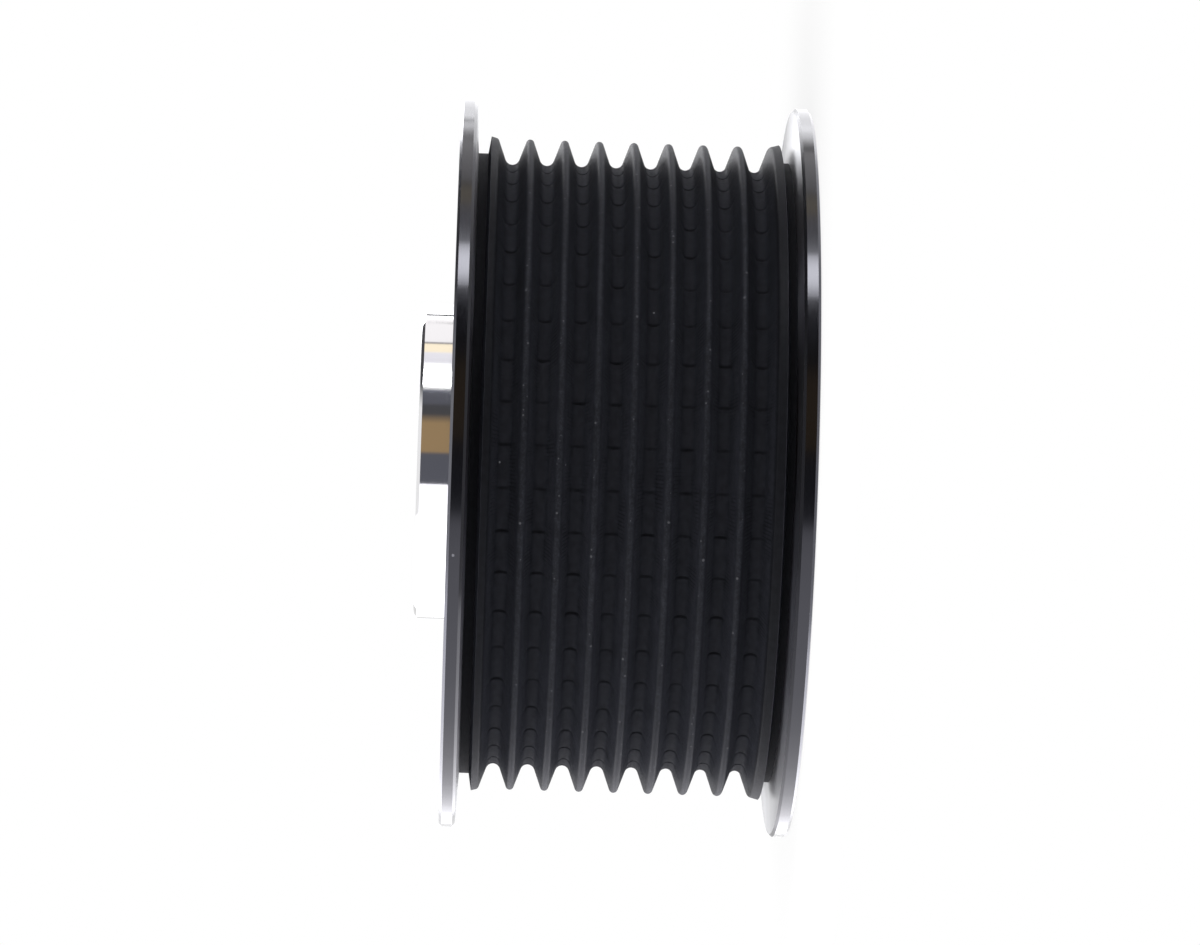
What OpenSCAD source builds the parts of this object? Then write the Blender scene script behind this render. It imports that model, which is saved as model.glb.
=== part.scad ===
// Flanged multi-rib belt pulley with a pressed-in steel hub.
// The axis is +Z. The outboard face lies on z = 0 and the hub stands out of the top, inboard face.
// All sizes are in millimetres.

/* [Belt grooves] */
// Number of V grooves
groove_count = 8; // [6:1:12]
// Distance from one groove to the next
groove_pitch = 3.56; // [2.8:0.01:4.7]
// Angle between the two flanks of a groove
groove_angle = 40; // [36:0.5:44]
// Diameter over the crests of the ribs
crest_d = 67.1; // [64:0.1:90]
// Radius of the rounded groove root
root_round = 0.75; // [0.5:0.05:0.9]
// Radius of the rounded rib crest
crest_round = 0.41; // [0.25:0.01:0.5]

/* [End lands] */
// Distance from a rim's inner edge to the groove side of its end land
end_w = 2.257; // [1.9:0.001:5]
// Width of the outboard end land
outboard_land_w = 0.93; // [0.5:0.01:1.15]
// Width of the inboard end land
inboard_land_w = 0.71; // [0.5:0.01:1.15]
// Slope of an end land's top, which rises from the rib crests to its sharp outer corner
land_tilt = 15; // [0:1:25]
// Slope of an end land's outer side, from square
land_slope = 9; // [2:1:20]
// Depth of the relief channel between land and flange, below the rib crests
relief_depth = 1.58; // [0.8:0.02:2.2]

/* [Flanges] */
// Height of a flange above the rib crests
flange_h = 4.02; // [2:0.01:8]
// Thickness of a flange at its rim
rim_t = 1.62; // [1:0.01:4]
// Slope of a flange's inner face, from square
flange_slope = 3; // [0:0.5:8]
// Chamfer on the outer edge of a rim
rim_chamfer = 0.27; // [0.1:0.01:0.45]
// Broken edge on the inner side of a rim
rim_break = 0.27; // [0.1:0.01:0.45]

/* [Web and recesses] */
// Wall between the groove roots and the recesses
rim_wall = 5.8; // [4:0.1:8]
// Thickness of the web
web_t = 13.5; // [8:0.5:15]
// Depth of the ring-shaped recess on the inboard side
recess_depth = 6; // [3:0.5:9]
// Wall of the boss around the hub
boss_wall = 3.6; // [2.5:0.1:5]
// Fillet at the floor of each recess
floor_fillet = 1.5; // [0.4:0.1:2.5]
// Chamfer on the edges of the recesses
mouth_chamfer = 0.6; // [0.2:0.1:1.2]
// Lead-in chamfer at both ends of the hub seat
seat_chamfer = 0.4; // [0.2:0.1:0.8]

/* [Hub] */
// Outside diameter of the hub
hub_d = 32.5; // [30:0.1:36]
// Diameter of the shaft bore
bore_d = 19; // [15:0.1:24]
// Height of the hub above the inboard face
hub_proud = 3.3; // [1:0.1:8]
// Width of the collar that stops the hub on the web
collar_lip = 3; // [1.5:0.1:4.5]
// Thickness of the collar
collar_t = 3; // [2:0.1:4]
// Chamfer on the hub's outer edges
hub_chamfer = 0.35; // [0.1:0.05:1]
// Chamfer at both ends of the shaft bore
bore_chamfer = 0.8; // [0.3:0.1:1.5]

/* [Hidden] */
$fn = 180;

// Segments on a groove root, on a rib crest and on a fillet
root_steps = 8;
crest_steps = 6;
fillet_steps = 6;

// Groove section: the flank touches the root arc and the crest arc
flank = groove_angle / 2;
half_turn = 90 - flank;
rounds = root_round + crest_round;
groove_depth = (groove_pitch / 2 * cos(flank) - rounds * (1 - sin(flank))) / sin(flank);

// Radii of the outside, from the crests
crest_r = crest_d / 2;
root_r = crest_r - groove_depth;
relief_r = crest_r - relief_depth;
flange_r = crest_r + flange_h;

// Half the width of a groove at radius r on its flank
flank_foot_r = root_r + root_round * (1 - sin(flank));
function half_groove(r) = root_round * cos(flank) + (r - flank_foot_r) * tan(flank);

// Heights of the flange's foot, of the land's groove side and of the first groove's centre
foot_z = rim_t + (flange_r - relief_r) * tan(flange_slope);
land_side_z = rim_t + end_w;
first_groove_z = land_side_z + half_groove(crest_r);
body_w = 2 * first_groove_z + (groove_count - 1) * groove_pitch;

// Radii and heights of the hidden sides
hub_r = hub_d / 2;
bore_r = bore_d / 2;
boss_r = hub_r + boss_wall;
recess_r = root_r - rim_wall;
collar_r = hub_r + collar_lip;
recess_z = body_w - recess_depth;
cup_z = recess_z - web_t;
collar_z = cup_z - collar_t;
hub_top_z = body_w + hub_proud;
fillet_r = min(floor_fillet, (recess_r - boss_r) * 0.45);

// Points along an arc about [r, z], from angle a to angle b
function arc(center, radius, a, b, steps) =
    [for (i = [0:steps]) center + radius * [cos(a + (b - a) * i / steps), sin(a + (b - a) * i / steps)]];

// Root of groove k, from its lower flank to its upper flank
function groove_root(k) =
    arc([root_r + root_round, first_groove_z + k * groove_pitch], root_round,
        180 + half_turn, 180 - half_turn, root_steps);

// Crest of the rib above groove k
function rib_crest(k) =
    arc([crest_r - crest_round, first_groove_z + (k + 0.5) * groove_pitch], crest_round,
        -half_turn, half_turn, crest_steps);

// Grooves and ribs, from the first groove's lower flank to the last one's upper flank
function ribs() =
    [for (k = [0:groove_count - 1])
        each concat(groove_root(k), k < groove_count - 1 ? rib_crest(k) : [])];

// Sharp outer corner of an end land of width w, and the foot of its outer side
function land_corner(w) = [crest_r + w * tan(land_tilt), land_side_z - w];
function land_foot(w) = [relief_r, land_corner(w)[1] - (land_corner(w)[0] - relief_r) * tan(land_slope)];

// Centre of the round that touches a land's top and the first groove's flank
round_side = [cos(land_tilt) + cos(half_turn), sin(land_tilt) + sin(half_turn)];
round_reach = crest_round / (1 + cos(half_turn - land_tilt));
land_round = [crest_r, land_side_z] - round_reach * round_side;

// Lower flange and end land of width w, from the outboard face to the first groove
function lower_end(w) =
    concat(
        [
            [flange_r - rim_chamfer, 0],
            [flange_r, rim_chamfer],
            [flange_r, rim_t - rim_break],
            [flange_r - rim_break, rim_t + rim_break * tan(flange_slope)],
            [relief_r, foot_z],
            land_foot(w),
            land_corner(w)
        ],
        arc(land_round, crest_round, land_tilt, half_turn, crest_steps)
    );

// The same points turned over, for the upper flange
function turned_over(points) =
    [for (i = [len(points) - 1:-1:0]) [points[i][0], body_w - points[i][1]]];

// Inboard side, from the flange's face inward to the hub seat
function inboard_side() =
    concat(
        [[recess_r + mouth_chamfer, body_w], [recess_r, body_w - mouth_chamfer]],
        arc([recess_r - fillet_r, recess_z + fillet_r], fillet_r, 0, -90, fillet_steps),
        arc([boss_r + fillet_r, recess_z + fillet_r], fillet_r, 270, 180, fillet_steps),
        [[boss_r, body_w - mouth_chamfer], [boss_r - mouth_chamfer, body_w]]
    );

// Outboard side, from the hub seat outward to the mouth of the cup
function outboard_side() =
    concat(
        arc([recess_r - fillet_r, cup_z - fillet_r], fillet_r, 90, 0, fillet_steps),
        [[recess_r, mouth_chamfer], [recess_r + mouth_chamfer, 0]]
    );

// Seat of the hub, from the inboard face to the floor of the cup
function hub_seat() =
    [
        [hub_r + seat_chamfer, body_w],
        [hub_r, body_w - seat_chamfer],
        [hub_r, cup_z + seat_chamfer],
        [hub_r + seat_chamfer, cup_z]
    ];

// Turned aluminium body: grooves, flanges, web and recesses in one piece
module pulley_body() {
    color("#1d1e21")
        rotate_extrude()
            polygon(concat(lower_end(outboard_land_w), ribs(), turned_over(lower_end(inboard_land_w)),
                           inboard_side(), hub_seat(), outboard_side()));
}

// Steel hub: pressed into the body from the cup until its collar meets the web
module hub() {
    color("#d9d7d1")
        rotate_extrude()
            polygon([
                [bore_r + bore_chamfer, collar_z],
                [collar_r - hub_chamfer, collar_z],
                [collar_r, collar_z + hub_chamfer],
                [collar_r, cup_z],
                [hub_r, cup_z],
                [hub_r, hub_top_z - hub_chamfer],
                [hub_r - hub_chamfer, hub_top_z],
                [bore_r + bore_chamfer, hub_top_z],
                [bore_r, hub_top_z - bore_chamfer],
                [bore_r, collar_z + bore_chamfer]
            ]);
}

pulley_body();
hub();
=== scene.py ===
"""Looks of the ribbed belt pulley: finely turned meshes, procedural finishes, studio light and camera."""

import math
import random

import bpy
from mathutils import Matrix, Vector


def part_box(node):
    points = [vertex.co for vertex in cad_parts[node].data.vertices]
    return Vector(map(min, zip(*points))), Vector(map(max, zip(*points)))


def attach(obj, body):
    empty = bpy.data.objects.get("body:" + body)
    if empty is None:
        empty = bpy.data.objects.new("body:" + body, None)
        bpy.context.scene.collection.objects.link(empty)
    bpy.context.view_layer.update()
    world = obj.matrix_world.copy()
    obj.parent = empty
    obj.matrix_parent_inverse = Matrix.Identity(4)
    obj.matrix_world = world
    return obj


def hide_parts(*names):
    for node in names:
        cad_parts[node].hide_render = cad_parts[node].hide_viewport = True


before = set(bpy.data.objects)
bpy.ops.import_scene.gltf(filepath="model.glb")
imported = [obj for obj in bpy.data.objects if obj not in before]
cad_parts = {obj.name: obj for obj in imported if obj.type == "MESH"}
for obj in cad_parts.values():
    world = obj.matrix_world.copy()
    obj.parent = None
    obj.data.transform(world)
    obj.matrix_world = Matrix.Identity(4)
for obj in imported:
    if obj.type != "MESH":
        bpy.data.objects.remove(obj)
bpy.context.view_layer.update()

MM = 0.001
AXIS = Vector((0, 0, 1))

# Belt grooves, as in the solid
GROOVES = 8
PITCH = 3.56 * MM
FLANK = math.radians(20)
CREST_R = 33.55 * MM
ROOT_ROUND = 0.75 * MM
CREST_ROUND = 0.41 * MM
ROUNDS = ROOT_ROUND + CREST_ROUND
DEPTH = (PITCH / 2 * math.cos(FLANK) - ROUNDS * (1 - math.sin(FLANK))) / math.sin(FLANK)
ROOT_R = CREST_R - DEPTH

# Degrees that a root or a crest turns to each side, up to its flanks
HALF_TURN = 90 - math.degrees(FLANK)

# End lands and flanges, as in the solid
END_W = 2.257 * MM
OUTBOARD_LAND_W = 0.93 * MM
INBOARD_LAND_W = 0.71 * MM
LAND_TILT = math.radians(15)
LAND_SLOPE = math.radians(9)
RELIEF_DEPTH = 1.58 * MM
RELIEF_R = CREST_R - RELIEF_DEPTH
RIM_T = 1.62 * MM
RIM_CHAMFER = 0.27 * MM
FLANGE_SLOPE = math.radians(3)

# Recesses, boss and hub, as in the solid
RIM_WALL = 5.8 * MM
RECESS_R = ROOT_R - RIM_WALL
RECESS_DEPTH = 6 * MM
WEB_T = 13.5 * MM
BOSS_WALL = 3.6 * MM
FILLET = 1.5 * MM
MOUTH_CHAMFER = 0.6 * MM
SEAT_CHAMFER = 0.4 * MM
HUB_R = 16.25 * MM
BORE_R = 9.5 * MM
COLLAR_LIP = 3 * MM
COLLAR_T = 3 * MM
HUB_CHAMFER = 0.35 * MM
BORE_CHAMFER = 0.8 * MM

# Round between the hub's chamfer and its end face, which the solid leaves out
EDGE_ROUND = 0.2 * MM

# The outer radius and the heights come from the frame
_, body_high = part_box("pulley_body")
_, hub_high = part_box("hub")
FLANGE_R = body_high.x
BODY_W = body_high.z
HUB_TOP = hub_high.z
FIRST_GROOVE = (BODY_W - (GROOVES - 1) * PITCH) / 2
RECESS_Z = BODY_W - RECESS_DEPTH
CUP_Z = RECESS_Z - WEB_T
COLLAR_Z = CUP_Z - COLLAR_T
FOOT_Z = RIM_T + (FLANGE_R - RELIEF_R) * math.tan(FLANGE_SLOPE)
MIDDLE = Vector((0, 0, BODY_W / 2))

# Cross marks in the groove roots: rows round the pulley, one of them just above the camera's height
MARK_ROWS = 46
MARK_PHASE = math.radians(-90 + 3.5)
MARK_DEPTH = 0.13 * MM
MARK_EDGE = 0.2 * MM
MARK_FLAT = 0.07 * MM
STEPS_BETWEEN_MARKS = 4

# Shares of the marks' depth: lost at the root's sides, left on the flank's foot, and least by chance
MARK_LOSS = 0.6
MARK_TAIL = 0.45
MARK_LEAST = 0.55
MARK_SEED = 7

# Segments on the round stretches of the section, on a flank and round the hub
ROOT_STEPS = 8
CREST_STEPS = 8
FILLET_STEPS = 6
EDGE_STEPS = 5
FLANK_STEPS = 4
HUB_STEPS = 256

# Edges that turn further than this stay sharp
SHARP_EDGE = math.radians(24)

# Share of an end land's side or top over which the finish changes at a corner
CORNER_SHARE = 0.05

# A length that is shorter than any stretch of the section
HAIR = 0.01 * MM

# Weights that the mesh carries for the finish of the grooves, with the painted light and shade in it
WEIGHTS = ("flank", "root", "crest", "deep", "side", "land", "mark")

# Places of the finishes in the body's list of materials
GLOSS, SATIN, TURNED, EDGE, DULL = range(5)

# Camera: where the photograph was taken from, with the axis across the picture and the hub to the left
IMAGE_W_PX = 1200
FOCAL_PX = 5330
SENSOR_MM = 36
CAMERA_DISTANCE = 551 * MM
CAMERA_PITCH = math.radians(1.345)
CAMERA_LEAN = math.radians(1.845)
CENTRE_RIGHT = 2.378 * MM
CENTRE_UP = 0.472 * MM
CLIP_START = 10 * MM


def arc(r, z, radius, start, end, steps):
    """Points along an arc about (r, z), with angles in degrees."""
    points = []
    for i in range(steps + 1):
        a = math.radians(start + (end - start) * i / steps)
        points.append((r + radius * math.cos(a), z + radius * math.sin(a)))
    return points


def tagged(points, **weights):
    """Give every point of a stretch the same finish weights."""
    return [(r, z, weights) for r, z in points]


def groove_flank(start, end, root_first):
    """Points inside a flank, where the cross marks reach a little way up from the root."""
    made = []
    for i in range(1, FLANK_STEPS):
        r, z = (start[n] + (end[n] - start[n]) * i / FLANK_STEPS for n in (0, 1))
        lowest = i == (1 if root_first else FLANK_STEPS - 1)
        # The flank weight gives the flanks painted light in the satin finish
        made.append((r, z, {"flank": 1.0, "tail": MARK_TAIL if lowest else 0.0}))
    return made


def groove_root(k):
    """Root of groove k, where the cross marks cut deepest in the middle."""
    centre_z = FIRST_GROOVE + k * PITCH
    points = arc(ROOT_R + ROOT_ROUND, centre_z, ROOT_ROUND, 180 + HALF_TURN, 180 - HALF_TURN, ROOT_STEPS)
    made = []
    for r, z in points:
        across = abs(z - centre_z) / (ROOT_ROUND * math.cos(FLANK))
        # The root weight gives the roots a slight painted shade, and the mark weight painted shade in the
        # cross marks' cuts
        weights = {"flank": across ** 2, "root": 1 - across ** 2, "mark": 1 - MARK_LOSS * across ** 4}
        made.append((r, z, weights))
    return made


def rib_crest(k):
    """Crest of the rib above groove k, lighter along its middle: partly wear, partly a painted highlight."""
    centre_z = FIRST_GROOVE + (k + 0.5) * PITCH
    points = arc(CREST_R - CREST_ROUND, centre_z, CREST_ROUND, -HALF_TURN, HALF_TURN, CREST_STEPS)
    return [(r, z, {"crest": 1 - abs(2 * i / CREST_STEPS - 1)}) for i, (r, z) in enumerate(points)]


def ribs():
    """Grooves and ribs from the first groove's root to the last one's."""
    made = groove_root(0)
    for k in range(GROOVES - 1):
        crest, root = rib_crest(k), groove_root(k + 1)
        made += groove_flank(made[-1], crest[0], root_first=True) + crest
        made += groove_flank(crest[-1], root[0], root_first=False) + root
    return made


def lower_end(land_w):
    """Lower flange and an end land of the given width, from the outboard face to the first groove."""
    side_z = RIM_T + END_W
    corner_r, corner_z = CREST_R + land_w * math.tan(LAND_TILT), side_z - land_w
    land_foot_z = corner_z - (corner_r - RELIEF_R) * math.tan(LAND_SLOPE)
    turn = math.radians(HALF_TURN)
    reach = CREST_ROUND / (1 + math.cos(turn - LAND_TILT))
    round_r = CREST_R - reach * (math.cos(LAND_TILT) + math.cos(turn))
    round_z = side_z - reach * (math.sin(LAND_TILT) + math.sin(turn))
    rim = [
        (FLANGE_R - RIM_CHAMFER, 0),
        (FLANGE_R, RIM_CHAMFER),
        (FLANGE_R, RIM_T - RIM_CHAMFER),
        (FLANGE_R - RIM_CHAMFER, RIM_T + RIM_CHAMFER * math.tan(FLANGE_SLOPE)),
    ]
    channel = [(RELIEF_R, FOOT_Z), (RELIEF_R, land_foot_z)]
    rise_r, rise_z = (corner_r - RELIEF_R) * CORNER_SHARE, (corner_z - land_foot_z) * CORNER_SHARE
    side = [(RELIEF_R + rise_r, land_foot_z + rise_z), (corner_r, corner_z)]
    land = [(corner_r - CORNER_SHARE * land_w * math.tan(LAND_TILT), corner_z + CORNER_SHARE * land_w)]
    land += arc(round_r, round_z, CREST_ROUND, math.degrees(LAND_TILT), HALF_TURN, CREST_STEPS)
    # In the satin finish the channel gets painted shade, the land's outer side painted light and the land top
    # a darker tone
    return tagged(rim) + tagged(channel, deep=1.0) + tagged(side, side=1.0) + tagged(land, land=1.0)


def turned_over(points):
    """The same stretch at the other end of the pulley."""
    return [(r, BODY_W - z, weights) for r, z, weights in reversed(points)]


def hidden_sides():
    """Inboard recess, hub seat and outboard cup, from the upper face round to the lower one."""
    boss_r = HUB_R + BOSS_WALL
    points = [(RECESS_R + MOUTH_CHAMFER, BODY_W), (RECESS_R, BODY_W - MOUTH_CHAMFER)]
    points += arc(RECESS_R - FILLET, RECESS_Z + FILLET, FILLET, 0, -90, FILLET_STEPS)
    points += arc(boss_r + FILLET, RECESS_Z + FILLET, FILLET, 270, 180, FILLET_STEPS)
    points += [(boss_r, BODY_W - MOUTH_CHAMFER), (boss_r - MOUTH_CHAMFER, BODY_W)]
    points += [(HUB_R + SEAT_CHAMFER, BODY_W), (HUB_R, BODY_W - SEAT_CHAMFER)]
    points += [(HUB_R, CUP_Z + SEAT_CHAMFER), (HUB_R + SEAT_CHAMFER, CUP_Z)]
    points += arc(RECESS_R - FILLET, CUP_Z - FILLET, FILLET, 90, 0, FILLET_STEPS)
    points += [(RECESS_R, MOUTH_CHAMFER), (RECESS_R + MOUTH_CHAMFER, 0)]
    return tagged(points)


def body_section():
    """Closed section of the pulley body."""
    low, middle, high = lower_end(OUTBOARD_LAND_W), ribs(), turned_over(lower_end(INBOARD_LAND_W))
    first = groove_flank(low[-1], middle[0], root_first=False)
    last = groove_flank(middle[-1], high[0], root_first=True)
    return low + first + middle + last + high + hidden_sides()


def body_finish(r, z):
    """Finish of a stretch of the body's section, from its middle."""
    from_face = min(z, BODY_W - z)
    if FLANGE_R - RIM_CHAMFER < r < FLANGE_R - HAIR:
        if from_face < RIM_CHAMFER:
            return EDGE
        return DULL if z < BODY_W / 2 else GLOSS
    if r < (RECESS_R + ROOT_R) / 2 or from_face < RIM_T:
        return GLOSS
    return TURNED if from_face < FOOT_Z - HAIR else SATIN


def hub_section():
    """Closed section of the hub."""
    collar_r = HUB_R + COLLAR_LIP
    edge_r = HUB_R - HUB_CHAMFER - EDGE_ROUND * math.tan(math.pi / 8)
    hub_edge = arc(edge_r, HUB_TOP - EDGE_ROUND, EDGE_ROUND, 45, 90, EDGE_STEPS)
    return tagged([
        (BORE_R + BORE_CHAMFER, COLLAR_Z),
        (collar_r - HUB_CHAMFER, COLLAR_Z),
        (collar_r, COLLAR_Z + HUB_CHAMFER),
        (collar_r, CUP_Z),
        (HUB_R, CUP_Z),
        (HUB_R, HUB_TOP - HUB_CHAMFER),
        *hub_edge,
        (BORE_R + BORE_CHAMFER, HUB_TOP),
        (BORE_R, HUB_TOP - BORE_CHAMFER),
        (BORE_R, COLLAR_Z + BORE_CHAMFER),
    ])


def mark_angles():
    """Angles round the pulley with how deep the cross marks are there, close together at each mark."""
    cell = 2 * math.pi / MARK_ROWS
    edge = MARK_EDGE / ROOT_R
    flat = MARK_FLAT / ROOT_R
    gap = cell - 2 * edge
    made = []
    for row in range(MARK_ROWS):
        at = MARK_PHASE + row * cell
        made += [(at - edge, 0.0, row), (at - flat, 1.0, row), (at + flat, 1.0, row), (at + edge, 0.0, row)]
        for i in range(1, STEPS_BETWEEN_MARKS + 1):
            made.append((at + edge + gap * i / (STEPS_BETWEEN_MARKS + 1), 0.0, row))
    return made


def even_angles(count):
    """Equal steps round the axis, with no marks."""
    return [(2 * math.pi * i / count, 0.0, 0) for i in range(count)]


def mark_chances():
    """How deep each cross mark is, and how much of it is left on the flank at either side."""
    chance = random.Random(MARK_SEED)
    cells = [(row, k) for row in range(MARK_ROWS) for k in range(GROOVES)]
    depths = {cell: chance.uniform(MARK_LEAST, 1.0) for cell in cells}
    tails = {(*cell, upper): chance.random() for cell in cells for upper in (False, True)}
    return depths, tails


def turned_piece(name, section, angles, finish=lambda r, z: 0):
    """Turn a closed section round the axis into a closed mesh, with its finish weights as attributes."""
    depths, tails = mark_chances()
    verts, weights = [], {key: [] for key in WEIGHTS}
    for angle, cut, row in angles:
        for r, z, given in section:
            k = min(max(round((z - FIRST_GROOVE) / PITCH), 0), GROOVES - 1)
            depth = cut * depths[row, k] * given.get("mark", 0.0)
            depth += cut * tails[row, k, z > FIRST_GROOVE + k * PITCH] * given.get("tail", 0.0)
            r_cut = r - MARK_DEPTH * depth
            verts.append((r_cut * math.cos(angle), r_cut * math.sin(angle), z))
            carried = {**given, "mark": depth}
            for key, values in weights.items():
                values.append(carried.get(key, 0.0))
    rings, points = len(angles), len(section)
    faces, finishes = [], []
    for i in range(rings):
        here, there = i * points, (i + 1) % rings * points
        for j in range(points):
            k = (j + 1) % points
            faces.append((here + j, there + j, there + k, here + k))
            finishes.append(finish((section[j][0] + section[k][0]) / 2, (section[j][1] + section[k][1]) / 2))
    mesh = bpy.data.meshes.new(name)
    mesh.from_pydata(verts, [], faces)
    for key, values in weights.items():
        mesh.attributes.new(key, "FLOAT", "POINT").data.foreach_set("value", values)
    mesh.polygons.foreach_set("material_index", finishes)
    mesh.shade_smooth()
    mesh.set_sharp_from_angle(angle=SHARP_EDGE)
    mesh.validate()
    piece = bpy.data.objects.new(name, mesh)
    bpy.context.collection.objects.link(piece)
    return piece


# Noises of the finishes: scale to the metre and detail, with the range that most of their values lie in
GRAIN = (5200.0, 3.0)
FLECK = (1500.0, 4.0)
CLOUD = (260.0, 4.0)
LINES = (9000.0, 3.0)
HAZE = (180.0, 4.0)
MOTTLE = (6.0, 2.0)
NOISE_RANGE = (0.3, 0.7)


class Nodes:
    """A short way to build a node tree."""

    def __init__(self, tree):
        self.tree = tree
        self.tree.nodes.clear()

    def add(self, kind, inputs=None, **settings):
        """A new node, with a value or a link for each named input."""
        node = self.tree.nodes.new("ShaderNode" + kind)
        for key, value in settings.items():
            setattr(node, key, value)
        for key, value in (inputs or {}).items():
            if isinstance(value, bpy.types.NodeSocket):
                self.tree.links.new(value, node.inputs[key])
            else:
                node.inputs[key].default_value = value
        return node

    def output(self, shader, kind="OutputMaterial"):
        """Make a shader the result of the tree."""
        self.add(kind, {"Surface": shader.outputs[0]})

    def place(self):
        """The place on the object."""
        return self.add("TexCoord").outputs["Object"]

    def noise(self, where, kind):
        """One of the noises above."""
        scale, detail = kind
        return self.add("TexNoise", {"Vector": where, "Scale": scale, "Detail": detail}).outputs["Fac"]

    def weight(self, name):
        """A finish weight of the mesh."""
        return self.add("Attribute", attribute_name=name).outputs["Fac"]

    def math(self, operation, *values):
        """The result of one sum."""
        return self.add("Math", dict(enumerate(values)), operation=operation).outputs[0]

    def ramp(self, value, low, high, to_low=0.0, to_high=1.0):
        """A value taken from one range to another, and held at the ends."""
        inputs = {"Value": value, "From Min": low, "From Max": high, "To Min": to_low, "To Max": to_high}
        return self.add("MapRange", inputs).outputs["Result"]

    def mapped(self, noise, low, high):
        """A noise taken to the range from low to high."""
        return self.ramp(noise, *NOISE_RANGE, low, high)

    def times(self, value, weight, factor):
        """A value that is multiplied by the factor where the weight is 1."""
        return self.math("MULTIPLY", value, self.ramp(weight, 0.0, 1.0, 1.0, factor))

    def scaled(self, colour, level):
        """A colour at some level."""
        return self.add("VectorMath", {0: colour, "Scale": level}, operation="SCALE").outputs[0]

    def blend(self, share, first, second):
        """A colour between two, through the colour sockets of a Mix node."""
        return self.add("Mix", {0: share, 6: first, 7: second}, data_type="RGBA").outputs[2]


def new_material(name):
    """A material with an empty node tree."""
    material = bpy.data.materials.new(name)
    material.use_nodes = True
    return material, Nodes(material.node_tree)


def specks(n, where, scale, share, small, large):
    """Small round specks, scattered over a share of the cells."""
    cells = n.add("TexVoronoi", {"Vector": where, "Scale": scale})
    pick = n.add("SeparateColor", {"Color": cells.outputs["Color"]}).outputs
    near = n.math("LESS_THAN", cells.outputs["Distance"], n.ramp(pick["Green"], 0.0, 1.0, small, large))
    return n.math("MULTIPLY", near, n.math("LESS_THAN", pick["Red"], share))


# Satin finish: plain tone and roughness, and what each weight multiplies or adds where it is 1
SATIN_TONE = (0.0098, 0.0103, 0.0130)
SATIN_FLECKS = (0.78, 1.22)
# Painted light on the flanks and, much more, on the lands' outer sides; painted shade in the roots, the
# channels and the cross marks' cuts; darker land tops; crests darker between their lighter patches
SATIN_FACTORS = {"flank": 1.3, "root": 0.97, "crest": 0.72, "deep": 0.45, "side": 3.0, "land": 0.5,
                 "mark": 0.3}
SATIN_ROUGH = (0.42, 0.56)
SATIN_DULLER = {"deep": 0.14, "root": 0.25}
SATIN_SPECULAR = 0.03
SATIN_DUST_AND_GLINTS = (0.11, 0.11, 0.12, 1)

# Crests lighter in grainy patches, partly wear and partly a painted highlight: range of the grain and its
# factor, and the place, scale and level of sparks, which are painted glints off burrs
WEAR_AND_HIGHLIGHT_GRAIN = (0.47, 0.62)
WEAR_AND_HIGHLIGHT_FACTOR = 2.1
SPARK_CREST = 0.4
SPARK_SCALE = 1700.0
SPARK_LEVEL = 0.4

# Comb on the flanks: cuts round the pulley, ranges of the clouds and the wave that it shows in, and the
# factor that paints shade into its cuts
SERRATIONS = 520.0
COMB_CLOUDS = (0.48, 0.6)
COMB_WAVE = (0.0, 0.8)
COMB_FACTOR = 0.55

# Dust on both black finishes, and depth and strength of their bumps
DUST_SCALE = 330.0
SATIN_BUMP = {"Strength": 0.4, "Distance": 0.04 * MM}
SATIN_GRAIN_HEIGHT = 0.5
GLOSS_BUMP = {"Strength": 0.02, "Distance": 0.02 * MM}


def black_satin():
    """Black hard-anodised aluminium in the grooves: satin, combed in patches, with painted light and shade,
    and crests lighter from wear and a painted highlight.
    """
    material, n = new_material("black_anodised_satin")
    where = n.place()
    axes = n.add("SeparateXYZ", {"Vector": where}).outputs
    grain = n.noise(where, GRAIN)
    fleck = n.noise(where, FLECK)
    cloud = n.noise(where, CLOUD)
    crest = n.weight("crest")

    # Comb of fine cuts across the flanks
    turn = n.math("ARCTAN2", axes["Y"], axes["X"])
    wave = n.math("SINE", n.math("MULTIPLY", turn, SERRATIONS))
    patch = n.math("MULTIPLY", n.weight("flank"), n.ramp(cloud, *COMB_CLOUDS))
    comb = n.math("MULTIPLY", n.ramp(wave, *COMB_WAVE), patch)

    # Tone: flecked, lighter in grainy patches on the crests, partly wear and partly a painted highlight, and
    # darker in the comb's cuts as painted shade
    wear_and_highlight = n.math("MULTIPLY", crest, n.ramp(grain, *WEAR_AND_HIGHLIGHT_GRAIN))
    shade = n.mapped(fleck, *SATIN_FLECKS)
    shade = n.times(shade, wear_and_highlight, WEAR_AND_HIGHLIGHT_FACTOR)
    shade = n.times(shade, comb, COMB_FACTOR)
    # Painted light and shade, and the darker land tops and crests, for each part of the section
    for key, factor in SATIN_FACTORS.items():
        shade = n.times(shade, n.weight(key), factor)

    # Dust all over, and sparks on the crests that are painted glints
    dust = specks(n, where, DUST_SCALE, share=0.07, small=0.03, large=0.06)
    on_crest = n.math("MULTIPLY", n.math("GREATER_THAN", crest, SPARK_CREST), SPARK_LEVEL)
    sparks = n.math("MULTIPLY", specks(n, where, SPARK_SCALE, share=0.3, small=0.1, large=0.24), on_crest)
    colour = n.blend(n.math("MAXIMUM", dust, sparks), n.scaled(SATIN_TONE, shade), SATIN_DUST_AND_GLINTS)

    # Roughness: duller in the channels and the roots
    rough = n.mapped(grain, *SATIN_ROUGH)
    for key, more in SATIN_DULLER.items():
        rough = n.math("ADD", rough, n.math("MULTIPLY", n.weight(key), more))

    height = n.math("SUBTRACT", n.math("MULTIPLY", grain, SATIN_GRAIN_HEIGHT), comb)
    bump = n.add("Bump", {"Height": height, **SATIN_BUMP})
    n.output(n.add("BsdfPrincipled", {
        "Base Color": colour,
        "Roughness": rough,
        "Normal": bump.outputs[0],
        "Specular IOR Level": SATIN_SPECULAR,
    }))
    return material


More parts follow.
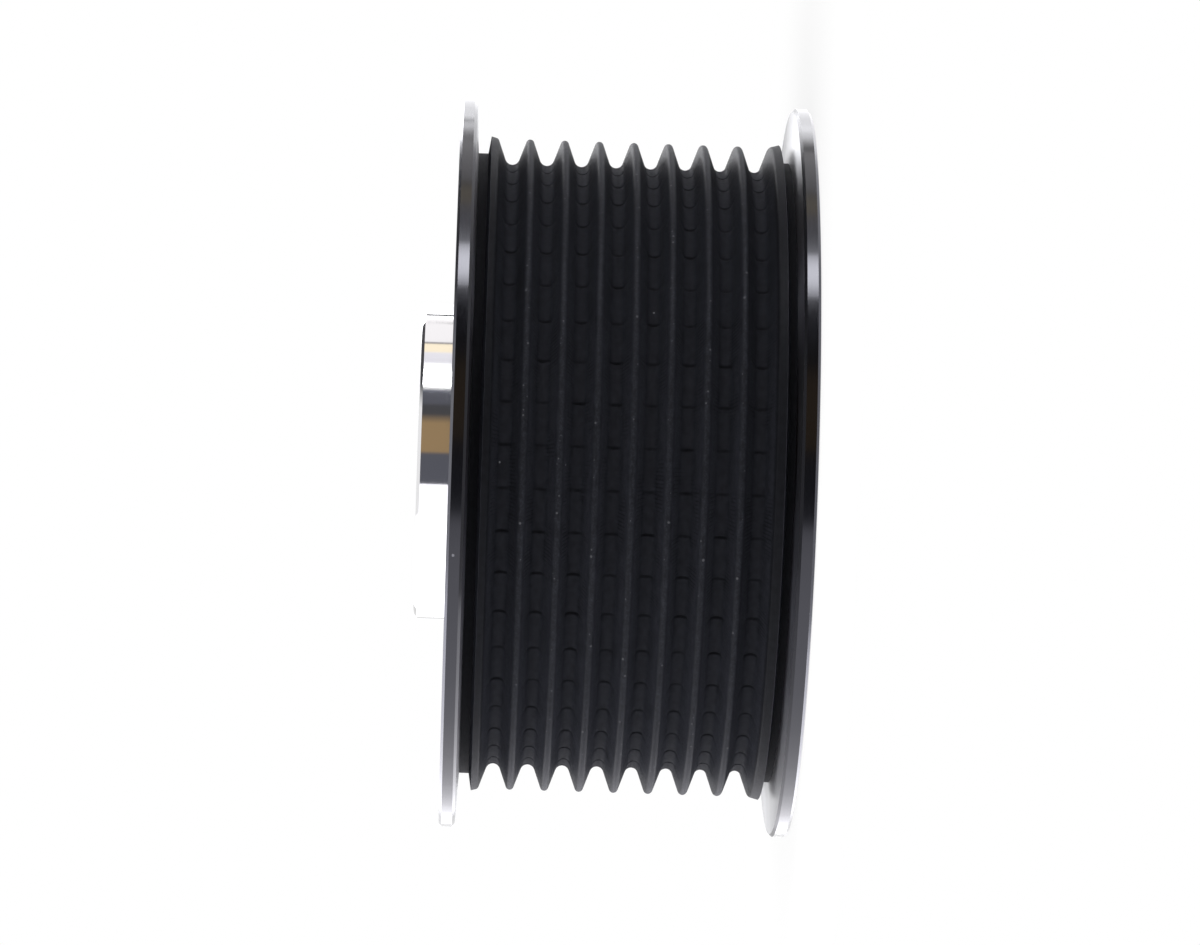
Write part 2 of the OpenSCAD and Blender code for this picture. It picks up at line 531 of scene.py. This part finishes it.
# Gloss finish: tint of the black and of its sheen, range of its clouds, and the dust on it
GLOSS_TINT = (1.0, 1.0, 1.25)
GLOSS_SHEEN = (0.86, 0.87, 1.0, 1)
GLOSS_CLOUDS = (0.8, 1.2)
GLOSS_DUST = (0.1, 0.1, 0.11, 1)
COAT_IOR = 1.2

# Turns the spread of the gloss square to the turning lines
QUARTER_TURN = 0.25


def black_gloss(name, tone, smooth, coarse, level, coat=1.0, spread=0.0):
    """Black hard-anodised aluminium on the flanges, with a gloss that turning lines can spread."""
    material, n = new_material(name)
    where = n.place()
    cloud = n.noise(where, CLOUD)
    shade = n.mapped(cloud, *(tone * share for share in GLOSS_CLOUDS))
    dust = specks(n, where, DUST_SCALE, share=0.05, small=0.02, large=0.05)
    bump = n.add("Bump", {"Height": n.noise(where, GRAIN), **GLOSS_BUMP})
    shader = n.add("BsdfPrincipled", {
        "Base Color": n.blend(dust, n.scaled(GLOSS_TINT, shade), GLOSS_DUST),
        "Roughness": n.mapped(cloud, smooth, coarse),
        "Normal": bump.outputs[0],
        "Specular IOR Level": level,
        "Specular Tint": GLOSS_SHEEN,
        "Coat Weight": coat,
        "Coat IOR": COAT_IOR,
        "Coat Roughness": smooth,
        "Anisotropic": spread,
        "Anisotropic Rotation": QUARTER_TURN,
    })
    if spread:
        round_axis = n.add("Tangent", direction_type="RADIAL", axis="Z").outputs[0]
        n.tree.links.new(round_axis, shader.inputs["Tangent"])
    n.output(shader)
    return material


# Steel: two tones, roughness from its haze and from its lines, and how little the lines change round the axis
STEEL_TONES = (0.515, 0.512, 0.51, 1), (0.555, 0.552, 0.55, 1)
HAZE_ROUGH = (0.045, 0.07)
LINE_ROUGH = (0.0, 0.025)
LINE_CHANGE = 0.0006
STEEL_BUMP = {"Strength": 0.12, "Distance": 0.01 * MM}


def bright_steel():
    """Ground and polished steel with faint turning lines round the axis."""
    material, n = new_material("bright_steel")
    where = n.place()
    axes = n.add("SeparateXYZ", {"Vector": where}).outputs
    squares = n.math("ADD", n.math("POWER", axes["X"], 2.0), n.math("POWER", axes["Y"], 2.0))
    turn = n.math("MULTIPLY", n.math("ARCTAN2", axes["Y"], axes["X"]), LINE_CHANGE)
    rings = n.add("CombineXYZ", {"X": turn, "Y": n.math("SQRT", squares), "Z": axes["Z"]}).outputs[0]
    lines = n.noise(rings, LINES)
    haze = n.noise(where, HAZE)
    bump = n.add("Bump", {"Height": lines, **STEEL_BUMP})
    n.output(n.add("BsdfPrincipled", {
        "Base Color": n.blend(haze, *STEEL_TONES),
        "Metallic": 1.0,
        "Roughness": n.math("ADD", n.mapped(haze, *HAZE_ROUGH), n.mapped(lines, *LINE_ROUGH)),
        "Normal": bump.outputs[0],
    }))
    return material


# Floor: half its width, how far it lies below the outboard face, its two tones, and how it runs into white
FLOOR_HALF = 2.0
FLOOR_Z = -0.05 * MM
FLOOR_TONES = (0.88, 0.88, 0.88, 1), (0.9, 0.9, 0.9, 1)
WHITE_FROM_AXIS = (0.036, 0.09)
WHITE_SHARE = (0.78, 1.0)
WHITE = (1, 1, 1, 1)

# Strength of the world where it only lights things
FILL = 0.84


def seen_directly(n):
    """1 for what the camera sees, also in gloss and through glass, and 0 for what only gives light."""
    path = n.add("LightPath").outputs
    onward = n.math("MAXIMUM", path["Is Glossy Ray"], path["Is Transmission Ray"])
    return n.math("MAXIMUM", path["Is Camera Ray"], onward)


def pale_floor():
    """White floor that keeps the shadow near the pulley and runs into the white background further off."""
    material, n = new_material("pale_floor")
    where = n.place()
    paper = n.add("BsdfDiffuse", {"Color": n.blend(n.noise(where, MOTTLE), *FLOOR_TONES)})
    white = n.add("Emission", {"Color": WHITE, "Strength": 1.0})
    off = n.add("VectorMath", {0: where}, operation="LENGTH").outputs["Value"]
    share = n.math("MULTIPLY", seen_directly(n), n.ramp(off, *WHITE_FROM_AXIS, *WHITE_SHARE))
    both = n.add("MixShader", {0: share, 1: paper.outputs[0], 2: white.outputs[0]})
    clear = n.add("BsdfTransparent")
    below = n.add("NewGeometry").outputs["Backfacing"]
    n.output(n.add("MixShader", {0: below, 1: both.outputs[0], 2: clear.outputs[0]}))
    return material


def white_world():
    """White surroundings for what the camera and the reflections see, and dimmer fill light."""
    world = bpy.data.worlds.new("white_world")
    world.use_nodes = True
    n = Nodes(world.node_tree)
    level = n.ramp(seen_directly(n), 0.0, 1.0, FILL, 1.0)
    n.output(n.add("Background", {"Color": WHITE, "Strength": level}), "OutputWorld")
    bpy.context.scene.world = world


def card_material(name, axis, steps):
    """Glow that changes along one axis of a card: (place, colour) pairs in order, or one if it is even."""
    material, n = new_material(name)
    where = n.add("SeparateXYZ", {"Vector": n.place()}).outputs[axis]
    tone = (*steps[0][1], 1)
    for (before, _), (after, colour) in zip(steps, steps[1:]):
        tone = n.blend(n.ramp(where, before, after), tone, (*colour, 1))
    n.output(n.add("Emission", {"Color": tone, "Strength": 1.0}))
    return material


def sheet(name, axis, at, across, along, material):
    """A flat sheet of the stage, square to one axis and between two places on each of the others."""
    (a, b), (c, d) = across, along
    corners = [[a, c], [b, c], [b, d], [a, d]]
    for corner in corners:
        corner.insert("XYZ".index(axis), at)
    mesh = bpy.data.meshes.new(name)
    mesh.from_pydata(corners, [], [(0, 1, 2, 3)])
    mesh.materials.append(material)
    piece = bpy.data.objects.new(name, mesh)
    bpy.context.collection.objects.link(piece)
    return piece


def card(name, axis, at, across, along, change, steps):
    """A glowing sheet that is only seen in reflections, with its steps along the axis of change."""
    piece = sheet(name, axis, at, across, along, card_material(name, change, steps))
    piece.visible_camera = False
    piece.visible_diffuse = False
    piece.visible_shadow = False


def posed(place, right, up, back):
    """Matrix of an object at a place, with its own X, Y and Z along the three directions."""
    return Matrix.Translation(place) @ Matrix((right, up, back)).transposed().to_4x4()


def soft_box(name, place, target, size, level):
    """A large lamp of even brightness, with its width along the pulley's axis, that is never seen itself."""
    width, height = size
    lamp = bpy.data.lights.new(name, "AREA")
    lamp.shape = "RECTANGLE"
    lamp.size = width
    lamp.size_y = height
    lamp.energy = level * math.pi * width * height
    piece = bpy.data.objects.new(name, lamp)
    away = (Vector(place) - Vector(target)).normalized()
    side = (AXIS - away * AXIS.dot(away)).normalized()
    piece.matrix_world = posed(place, side, away.cross(side), away)
    piece.visible_camera = False
    piece.visible_glossy = False
    bpy.context.collection.objects.link(piece)


def place_camera():
    """Camera at the photograph's place, turned so that the pulley's axis runs across the picture."""
    lean_c, lean_s = math.cos(CAMERA_LEAN), math.sin(CAMERA_LEAN)
    pitch_c, pitch_s = math.cos(CAMERA_PITCH), math.sin(CAMERA_PITCH)
    right = Vector((lean_s, -lean_c * pitch_s, -lean_c * pitch_c))
    ahead = Vector((0, pitch_c, -pitch_s))
    up = Vector((lean_c, lean_s * pitch_s, lean_s * pitch_c))
    place = MIDDLE - right * CENTRE_RIGHT - up * CENTRE_UP - ahead * CAMERA_DISTANCE
    data = bpy.data.cameras.new("camera")
    data.sensor_fit = "HORIZONTAL"
    data.sensor_width = SENSOR_MM
    data.lens = FOCAL_PX / IMAGE_W_PX * SENSOR_MM
    data.clip_start = CLIP_START
    camera = bpy.data.objects.new("camera", data)
    camera.matrix_world = posed(place, right, up, -ahead)
    bpy.context.collection.objects.link(camera)
    bpy.context.scene.camera = camera


# The body, with its finishes in the order of GLOSS, SATIN, TURNED, EDGE and DULL
body = turned_piece("pulley_body_turned", body_section(), mark_angles(), body_finish)
for material in (
    black_gloss("black_anodised_gloss", tone=0.0013, smooth=0.15, coarse=0.19, level=0.22),
    black_satin(),
    # The turned faces' black is lighter than the rims': painted light on the flanges' inner faces down in the
    # dark channel
    black_gloss("black_anodised_turned", tone=0.0025, smooth=0.32, coarse=0.36, level=0.5,
                coat=0.0, spread=0.95),
    black_gloss("black_anodised_edge", tone=0.004, smooth=0.2, coarse=0.26, level=1.0),
    black_gloss("black_anodised_dull", tone=0.004, smooth=0.22, coarse=0.28, level=0.1, coat=0.0),
):
    body.data.materials.append(material)
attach(body, "root")
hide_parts("pulley_body")

# The hub
hub = turned_piece("hub_turned", hub_section(), even_angles(HUB_STEPS))
hub.data.materials.append(bright_steel())
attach(hub, "root")
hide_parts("hub")

# The floor, which shows in no reflection and casts no shadow
floor_span = (-FLOOR_HALF, FLOOR_HALF)
floor = sheet("floor", "Z", FLOOR_Z, floor_span, floor_span, pale_floor())
floor.visible_glossy = False
floor.visible_shadow = False

# Colours of the room that the rims and the hub reflect: dim in front, bright paper below, above and behind
SKY = (0.3, 0.32, 0.4)
COOL = (0.16, 0.165, 0.2)
DIM = (0.105, 0.105, 0.115)
WARM = (0.52, 0.355, 0.19)
TABLE_NEAR = (2.45, 2.42, 2.62)
TABLE_FAR = (3.5, 3.47, 3.65)
TOP_FRONT = (1.4, 1.38, 1.5)
TOP_NEAR = (1.5, 1.48, 1.6)
CREAM = (1.85, 1.63, 1.25)
PALE = (1.7, 1.66, 1.7)
LINE = (0.5, 0.49, 0.5)
GAP = (0.02, 0.02, 0.02)
REAR_LOW = (1.6, 1.6, 1.64)
REAR_SOFT = (1.5, 1.5, 1.54)
REAR_MILD = (1.8, 1.8, 1.86)
REAR_FULL = (2.5, 2.5, 2.58)
REAR_TOP = (3.1, 3.1, 3.2)
LIT = (3.8, 3.8, 3.92)
GLARE = (6.0, 6.0, 6.2)
OVER = (1.45, 1.45, 1.48)
UNDER_LOW = (0.9, 0.9, 0.95)
UNDER_HIGH = (0.8, 0.8, 0.85)
KEY_LOW = (0.4, 0.4, 0.45)
KEY_LIT = (23.0, 22.9, 23.6)
KEY_HIGH = (2.1, 2.1, 2.2)
KEY_END = (1.4, 1.4, 1.47)

# Places of the cards, in metres: up in the picture is +X, away from the camera +Y, to the hub's end +Z
FRONT_Y = -1.8
REAR_Y = 1.8
TABLE_X = -0.52
TOP_X = 2.3
FRONT_TOP_X = 2.45
KEY_X = 0.74
END_Z = 2.0
CARD_LOW_Z = -1.2
CARD_HIGH_Z = 1.6
REAR_SPLIT_Z = 0.3
STRIP_AHEAD = 0.02

# Cards in front, below and above, with a thin dark line in the one above
card("front_card", "Y", FRONT_Y, across=(TABLE_X, FRONT_TOP_X), along=(CARD_LOW_Z, CARD_HIGH_Z), change="X",
     steps=[(0.17, COOL), (0.24, WARM), (0.95, WARM), (1.25, DIM), (1.55, DIM), (1.7, COOL), (2.2, COOL),
            (FRONT_TOP_X, SKY)])
card("table_card", "X", TABLE_X, across=(FRONT_Y, 1.3), along=(CARD_LOW_Z, CARD_HIGH_Z), change="Y",
     steps=[(-1.6, TABLE_NEAR), (-0.1, TABLE_FAR)])
card("top_card", "X", TOP_X, across=(-0.57, REAR_Y), along=(CARD_LOW_Z, CARD_HIGH_Z), change="Y",
     steps=[(-0.5, TOP_FRONT), (-0.16, TOP_NEAR), (-0.1, CREAM), (0.21, CREAM), (0.23, LINE), (0.29, LINE),
            (0.31, PALE)])

# Cards behind, with dark strips that stand just ahead of two of the cards
card("rear_card", "Y", REAR_Y, across=(-0.3, TOP_X), along=(CARD_LOW_Z, REAR_SPLIT_Z), change="X",
     steps=[(0.19, REAR_LOW), (0.7, REAR_SOFT), (1.05, REAR_MILD), (1.4, REAR_FULL), (1.62, LIT),
            (TOP_X, REAR_TOP)])
card("strip_card", "Y", REAR_Y - STRIP_AHEAD, across=(1.64, 1.84), along=(0.0, 0.12), change="X",
     steps=[(1.64, GAP)])
card("rear_high_card", "Y", REAR_Y, across=(0.1, 1.3), along=(REAR_SPLIT_Z, 1.11), change="X",
     steps=[(0.1, LIT), (0.7, GLARE)])
card("top_strip_card", "X", TOP_X - STRIP_AHEAD, across=(1.36, 1.54), along=(-0.45, 0.042), change="Y",
     steps=[(1.36, GAP)])

# Cards beyond the two ends of the axis
card("over_card", "Z", END_Z, across=(-0.8, 2.6), along=(-1.0, 6.0), change="X",
     steps=[(0.65, OVER), (0.95, DIM)])
card("under_card", "Z", -END_Z, across=(-2.0, 3.0), along=(-3.0, 3.0), change="X",
     steps=[(-2.0, UNDER_LOW), (3.0, UNDER_HIGH)])

# The key lamp lights the ribs, and a card with soft edges in its place shows in the rims and the hub
card("key_card", "X", KEY_X, across=(-0.51, -0.175), along=(-0.3, 0.5), change="Y",
     steps=[(-0.51, KEY_LOW), (-0.45, KEY_LIT), (-0.315, KEY_LIT), (-0.26, KEY_HIGH), (-0.19, KEY_HIGH),
            (-0.18, KEY_END)])
soft_box("key", place=(0.725, -0.338, 0.06), target=MIDDLE, size=(1.4, 0.24), level=4.7)
soft_box("table", place=(-0.45, -0.6, 0.03), target=(0, -0.6, 0.03), size=(0.9, 2.0), level=3.1)
soft_box("back", place=(0.9, 0.5, 0.05), target=MIDDLE, size=(0.9, 0.6), level=1.0)
white_world()
place_camera()

bpy.context.scene.view_settings.view_transform = "Standard"
